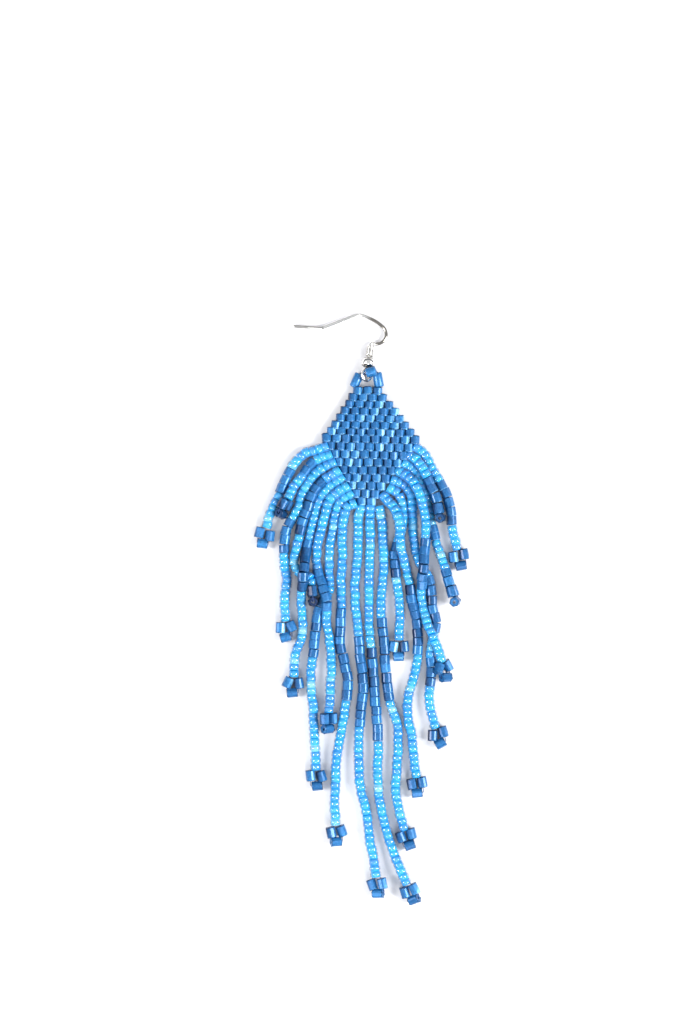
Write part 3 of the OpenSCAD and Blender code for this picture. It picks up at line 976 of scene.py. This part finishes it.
@dataclass(frozen=True)
class WovenDiamond(Assembly):
    """Diamond of cut beads in brick stitch.

    The first fields are the beads of each row from the top, and the x of its middle in millimetres.
    The shifts are in millimetres too; the other lengths are in metres.
    """

    counts: tuple[int, ...] = (3, 4, 5, 6, 7, 8, 9, 10, 9, 8, 7, 6, 5, 4, 3, 2)
    middles: tuple[float, ...] = (0.9, 0.9, 1.3, 1.4, 1.6, 1.6, 1.8, 1.8, 1.7, 1.6, 1.4, 1.3, 1.1, 1.1, 1.0, 1.1)
    widest: int = 7
    widest_x: float = 1.8 * MM
    widest_y: float = 38.0 * MM
    pitch: float = 2.2 * MM
    top_pitch: float = 1.55 * MM
    low_pitch: float = 1.75 * MM
    turn: float = -1.4
    height: float = 1.32 * MM
    slope: float = -7.0
    lean: float = 3.0
    rolls: Pair = (0.08, 0.08)
    shifts: tuple[Pair, ...] = ((-0.06, 0.06), (-0.08, 0.08), (0.0, 0.08))
    tones: Pair = (0.3, 0.78)
    # Each bead's lower rim gets a painted highlight, and its tone rises to the right: painted light from the right
    # and painted shade on the left.
    highlight_rim_tones: Pair = (0.9, 1.0)
    painted_light_slant: float = 0.32
    thread_radius: float = 0.2 * MM
    thread_sides: int = 6
    thread_steps: int = 4
    thread_wave: float = 0.12 * MM
    seed: int = 7

    def drop(self, row: int) -> float:
        """Distance from the first row down to a row."""
        return min(row, self.widest) * self.top_pitch + max(row - self.widest, 0) * self.low_pitch

    def frame(self) -> Matrix:
        """Place of the diamond, with zero in the middle of its widest row."""
        return Matrix.Translation((self.widest_x, self.widest_y, self.height)) @ turned(self.turn, "Z")

    def build(self) -> None:
        """Builds the diamond."""
        dice = random.Random(self.seed)
        piece = Piece("diamond_beads")
        panel = self.frame()
        for index, (count, middle) in enumerate(zip(self.counts, self.middles)):
            y = self.drop(self.widest) - self.drop(index)
            left = middle * MM - self.widest_x - (count - 1) / 2 * self.pitch
            long = (self.top_pitch if index < self.widest else self.low_pitch) / self.top_pitch
            for k in range(count):
                shift = Vector([dice.uniform(*span) for span in self.shifts]) * MM
                lean = Euler([math.radians(dice.gauss(mean, self.lean)) for mean in (self.slope, 0, 0)])
                place = (
                    panel
                    @ Matrix.Translation(Vector((left + k * self.pitch, y, 0)) + shift)
                    @ lean.to_matrix().to_4x4()
                    @ turned(90, "X")
                    @ Matrix.Rotation(dice.gauss(*self.rolls), 4, "Z")
                    @ Matrix.Diagonal((1, 1, long, 1))
                )
                # Painted highlight on the lower rim, and painted light from the right.
                tone, highlight_tone = dice.uniform(*self.tones), dice.uniform(*self.highlight_rim_tones)
                piece.add_mold(self.stock.woven, place, tone, highlight_tone, self.painted_light_slant)
            self.bind(piece, panel, index, left, y)
        piece.finish(self.stock.beadwork, "diamond_panel", "dark_bead")

    def bind(self, piece: Piece, panel: Matrix, index: int, left: float, y: float) -> None:
        """Runs the thread between a row and the next one.

        Args:
            piece: the piece that it joins.
            panel: place of the diamond.
            index: the row.
            left: x of the row's first bead.
            y: y of the row.
        """
        if index == len(self.counts) - 1:
            return
        below = self.drop(index + 1) - self.drop(index)
        fewer = min(self.counts[index : index + 2])
        if self.counts[index + 1] < self.counts[index]:
            left += self.pitch / 2
        right = left + (fewer - 1) * self.pitch
        steps = self.thread_steps * fewer
        points = []
        for i in range(steps + 1):
            x = left + (right - left) * i / steps
            sway = self.thread_wave * (-1) ** (i // 2) / 3
            points.append(panel @ Vector((x, y - below / 2 + sway, self.thread_wave * math.sin(i * 1.7))))
        piece.add_sweep(points, self.thread_radius, self.thread_sides, Layer.THREAD)


@dataclass(frozen=True)
class LoopBead:
    """One bead of the loop: its name, the two ends of its hole and its diameter, in millimetres."""

    name: str
    start: Point
    end: Point
    diameter: float


@dataclass(frozen=True)
class BeadLoop(Assembly):
    """Loop of three beads that hangs the diamond on the ear wire's ring."""

    beads: tuple[LoopBead, ...] = (
        LoopBead("loop_bead_left", (-2.0, 49.7, 1.07), (-0.65, 52.75, 1.07), 2.1),
        LoopBead("loop_bead_top", (0.78, 52.8, 3.15), (3.0, 53.35, 3.45), 2.15),
        LoopBead("loop_bead_right", (3.2, 53.0, 1.4), (3.8, 49.75, 1.13), 2.2),
    )
    route: tuple[Point, ...] = (
        (-1.93, 50.1, 1.1), (-1.85, 50.3, 1.1), (-1.0, 52.4, 1.1), (-0.5, 52.8, 1.3), (0.2, 52.7, 1.7),
        (0.7, 52.6, 2.5), (1.45, 52.75, 3.0), (2.4, 53.1, 3.0), (3.0, 53.2, 2.6), (3.4, 52.7, 1.4),
        (3.9, 50.2, 1.1), (3.93, 49.95, 1.1),
    )
    sides: int = 18
    rim_round: float = 0.32 * MM
    rim_steps: int = 3
    tone: float = 0.6
    thread_radius: float = 0.15 * MM
    thread_sides: int = 8

    def build(self) -> None:
        """Builds the three beads and their thread."""
        for bead in self.beads:
            start, end = Vector(bead.start) * MM, Vector(bead.end) * MM
            mold = CutBeadMold(
                radius=bead.diameter / 2 * MM, half_length=(end - start).length / 2, sides=self.sides,
                rim_round=self.rim_round, rim_steps=self.rim_steps, rims_only=True,
            ).mesh()
            piece = Piece(f"{bead.name}_cut")
            piece.add_mold(mold, facing((start + end) / 2, (end - start).normalized(), FACE_UP), self.tone)
            piece.finish(self.stock.beadwork, bead.name, "dark_bead")
        piece = Piece("loop_thread_strand")
        line = Centreline([Vector(point) * MM for point in self.route])
        piece.add_sweep(line.samples[::2], self.thread_radius, self.thread_sides, Layer.THREAD)
        piece.finish(self.stock.beadwork, "loop_thread", "thread")


@dataclass(frozen=True)
class EarWire(Assembly):
    """Silver ear wire with its ring, its ball and its coil.

    Its own frame has the ring at zero and the shank along Y, as in the source of the solids. Its path
    goes on with bends, by radius in millimetres and turn in degrees to the right, and straights in
    millimetres; the marks are its steps where the darker crook, painted dark reflection, starts and ends,
    and where the darker tail starts.
    """

    radius: float = 0.375 * MM
    sides: int = 20
    ring: float = 1.2 * MM
    ring_sides: int = 16
    ring_steps: int = 40
    ring_turn: float = 40.0
    ball_y: float = 2.85 * MM
    ball_wide: float = 3.2 * MM
    ball_tall: float = 2.4 * MM
    # Band of the ball, in shares of its half height, kept bright; above and below it is painted dark reflection.
    ball_lit_band: Pair = (-0.5, 0.75)
    ball_steps: int = 14
    ball_sides: int = 48
    bore: float = 0.475 * MM
    coil_wide: float = 1.7 * MM
    coil_long: float = 2.7 * MM
    coil_wire: float = 0.175 * MM
    coil_gap: float = 0.1 * MM
    coil_turns: int = 8
    coil_steps: int = 24
    coil_sides: int = 10
    shank_y: float = 6.85 * MM
    path: tuple[tuple[float, ...], ...] = (
        (0.5, 101), (2.16, -112), (2.35, -41), (8.7, -21), (1.76,), (3.0, -46.3), (7.3,), (2.4, 25.6), (5.6,)
    )
    marks: tuple[int, int, int] = (1, 4, 7)
    least_steps: int = 4
    step_angle: float = 8.0
    bright: float = 0.95
    tail_tone: float = 0.55
    coil_tone: float = 0.6
    # Tone of the painted dark reflection on the crook and the ball, and of the darker point under the ball.
    dark_tone: float = 0.12
    origin: Point = (0.9, 52.4, 1.6)
    turn: float = -7.8
    tilt: float = -6.5

    def frame(self) -> Matrix:
        """Places the ear wire's own frame.

        Returns:
            The frame's matrix.
        """
        ball = Matrix.Translation((0, self.ball_y, 0))
        return (
            Matrix.Translation(Vector(self.origin) * MM)
            @ turned(self.turn, "Z")
            @ ball
            @ turned(self.tilt, "X")
            @ ball.inverted()
        )

    def route(self) -> tuple[list[Vector], list[float]]:
        """Draws the wire's centre from the ring to the end of the tail.

        Returns:
            The points, and the tone of each.
        """
        heading = 90.0
        points = [Vector((0, y, 0)) for y in (self.ring, 0.5 * self.shank_y, self.shank_y)]
        starts = []
        for size, *bend in self.path:
            starts.append(len(points))
            ahead = Vector((math.cos(math.radians(heading)), math.sin(math.radians(heading)), 0))
            if not bend:
                points.append(points[-1] + ahead * size * MM)
                continue
            turn = bend[0]
            middle = points[-1] + math.copysign(size, turn) * MM * Vector((ahead.y, -ahead.x, 0))
            arm = points[-1] - middle
            steps = max(self.least_steps, round(abs(turn) / self.step_angle))
            for k in range(1, steps + 1):
                points.append(middle + Matrix.Rotation(math.radians(-turn * k / steps), 3, "Z") @ arm)
            heading -= turn
        # Between the first two marks the crook gets painted dark reflection; the first point, just under the ball, is
        # darker too.
        lit, dark_end, plain = (starts[mark] for mark in self.marks)
        tones = [self.bright] * plain + [self.tail_tone] * (len(points) - plain)
        for i in (0, *range(lit + 1, dark_end)):
            tones[i] = self.dark_tone
        return points, tones

    def wire(self) -> Piece:
        """Shapes the bent wire and its ring.

        Returns:
            The piece.
        """
        piece = Piece("ear_hook_wire")
        bm = piece.bm
        spun_wire(bm, self.radius, self.ring_sides, self.ring, self.ring_steps)
        bmesh.ops.transform(bm, matrix=self.frame() @ turned(self.ring_turn, "Y"), verts=bm.verts)
        bmesh.ops.recalc_face_normals(bm, faces=bm.faces)
        for face in bm.faces:
            face.smooth = True
        piece.paint(self.bright)
        place = self.frame()
        points, tones = self.route()
        route = [place @ point for point in points]
        piece.add_sweep(route, self.radius, self.sides, 0, tuple(tones), cap=self.radius)
        return piece

    def ball(self) -> Piece:
        """Shapes the ball on the shank.

        Returns:
            The piece.
        """
        piece = Piece("hook_ball_bead")
        round_r = self.ball_tall / 2
        shoulder = (self.ball_wide - self.ball_tall) / 2
        steps = self.ball_steps
        start = math.acos((self.bore - shoulder) / round_r)
        arc = [
            (shoulder + round_r * math.cos(a), round_r * math.sin(a))
            for a in (start - 2 * start * k / steps for k in range(steps + 1))
        ]
        for face in spun_ring(piece.bm, tuple(arc), self.ball_sides):
            face.smooth = True
        # Above and below a band round its middle the ball gets painted dark reflection.
        for vert in piece.bm.verts:
            lit = self.ball_lit_band[0] * round_r <= vert.co.z <= self.ball_lit_band[1] * round_r
            vert[piece.tone] = self.bright if lit else self.dark_tone
        stand = self.frame() @ Matrix.Translation((0, self.ball_y, 0)) @ turned(-90, "X")
        bmesh.ops.transform(piece.bm, matrix=stand, verts=piece.bm.verts)
        return piece

    def coil(self) -> Piece:
        """Shapes the coil above the ball.

        Returns:
            The piece.
        """
        piece = Piece("hook_coil_wire")
        bm = piece.bm
        steps = self.coil_steps * self.coil_turns
        rise = (self.coil_long - 2 * self.coil_wire) / steps
        out = self.coil_wide / 2 - self.coil_wire
        spun_wire(bm, self.coil_wire, self.coil_sides, out, steps, self.coil_turns, rise)
        bmesh.ops.holes_fill(bm, edges=bm.edges, sides=self.coil_sides)
        bmesh.ops.recalc_face_normals(bm, faces=bm.faces)
        for face in bm.faces:
            face.smooth = len(face.verts) == 4
        coil_y = self.ball_y + self.ball_tall / 2 + self.coil_gap + self.coil_wire
        stand = self.frame() @ Matrix.Translation((0, coil_y, 0)) @ turned(-90, "X")
        bmesh.ops.transform(bm, matrix=stand, verts=bm.verts)
        piece.paint(self.coil_tone)
        return piece

    def build(self) -> None:
        """Builds the whole ear wire."""
        for piece, node in ((self.wire(), "ear_hook"), (self.ball(), "hook_ball"), (self.coil(), "hook_coil")):
            piece.finish(self.stock.silver, node, "silver")


@dataclass(frozen=True)
class Lamp:
    """One soft white lamp: where it stands, its size and its power."""

    name: str
    place: Point
    size: float
    power: float


@dataclass(frozen=True)
class Studio(Assembly):
    """Camera, table and light."""

    image: tuple[int, int] = (680, 1020)
    metres_per_pixel: float = 0.001 / 4.45
    zero_pixel: Pair = (362.5, 608.5)
    lens: float = 100.0
    sensor: float = 36.0
    clip: Pair = (0.01, 10.0)
    focus_height: float = 1.0 * MM
    table_half: float = 2.0
    sky: Colour = (0.93, 0.96, 1.0, 1.0)
    sky_dark: Colour = (0.1, 0.105, 0.12, 1.0)
    sky_strength: float = 0.78
    sky_ramp: Pair = (0.46, 0.64)
    sky_side: float = 0.2
    lamps: tuple[Lamp, ...] = (
        Lamp("lamp_left", (-0.68, -0.1, 0.57), 0.38, 9.3),
        Lamp("lamp_right", (0.68, -0.1, 0.57), 0.44, 14.2),
        Lamp("lamp_front", (0.0, -0.62, 0.62), 0.32, 2.6),
    )

    def set_camera(self) -> None:
        """Points the camera straight down, with the photo's scale and frame."""
        data = bpy.data.cameras.new("camera")
        data.lens, data.sensor_width = self.lens, self.sensor
        data.clip_start, data.clip_end = self.clip
        wide, tall = self.image
        distance = tall * self.metres_per_pixel * self.lens / self.sensor
        x = (wide / 2 - self.zero_pixel[0]) * self.metres_per_pixel
        y = (self.zero_pixel[1] - tall / 2) * self.metres_per_pixel
        camera = placed("camera", data)
        camera.location = (x, y, self.focus_height + distance)
        bpy.context.scene.camera = camera

    def lay_table(self) -> None:
        """Lays the table at z = 0."""
        bm = bmesh.new()
        bmesh.ops.create_grid(bm, x_segments=1, y_segments=1, size=self.table_half)
        mesh = baked(bm, "table")
        mesh.materials.append(self.stock.table)
        table = placed("table", mesh)

    def hang_lamps(self) -> None:
        """Hangs the lamps, each turned to the earring."""
        for lamp in self.lamps:
            data = bpy.data.lights.new(lamp.name, "AREA")
            data.shape, data.size, data.energy = "DISK", lamp.size, lamp.power
            light = placed(lamp.name, data)
            light.location = lamp.place
            light.rotation_euler = (-Vector(lamp.place)).to_track_quat("-Z", "Y").to_euler()

    def light_sky(self) -> None:
        """Lights the sky: dark near the horizon, pale above, and a little paler to both sides."""
        world = bpy.data.worlds.new("sky")
        bench = NodeBench(world, "Background")
        bench.set(Strength=self.sky_strength)
        way = {"Vector": bench.node("TexCoord", "Generated")}
        side = bench.node("Math", "Value", {0: bench.node("SeparateXYZ", "X", way)}, operation="ABSOLUTE")
        inputs = {0: side, 1: self.sky_side, 2: bench.node("SeparateXYZ", "Z", way)}
        reach = bench.node("Math", "Value", inputs, operation="MULTIPLY_ADD")
        bench.link(bench.blend(reach, tuple(zip(self.sky_ramp, (self.sky_dark, self.sky)))), "Color")
        bpy.context.scene.world = world
        bpy.context.scene.view_settings.view_transform = "Standard"


def main() -> None:
    """Builds the earring and its surroundings."""
    logging.basicConfig(level=logging.INFO, format="%(message)s")
    stock = Stock()
    studio = Studio(stock)
    studio.set_camera()
    studio.lay_table()
    studio.hang_lamps()
    studio.light_sky()
    EarWire(stock).build()
    BeadLoop(stock).build()
    WovenDiamond(stock).build()
    for number, plan in enumerate(STRING_PLANS, start=1):
        FringeString(stock, number, plan).build()


if __name__ == "__main__":
    main()
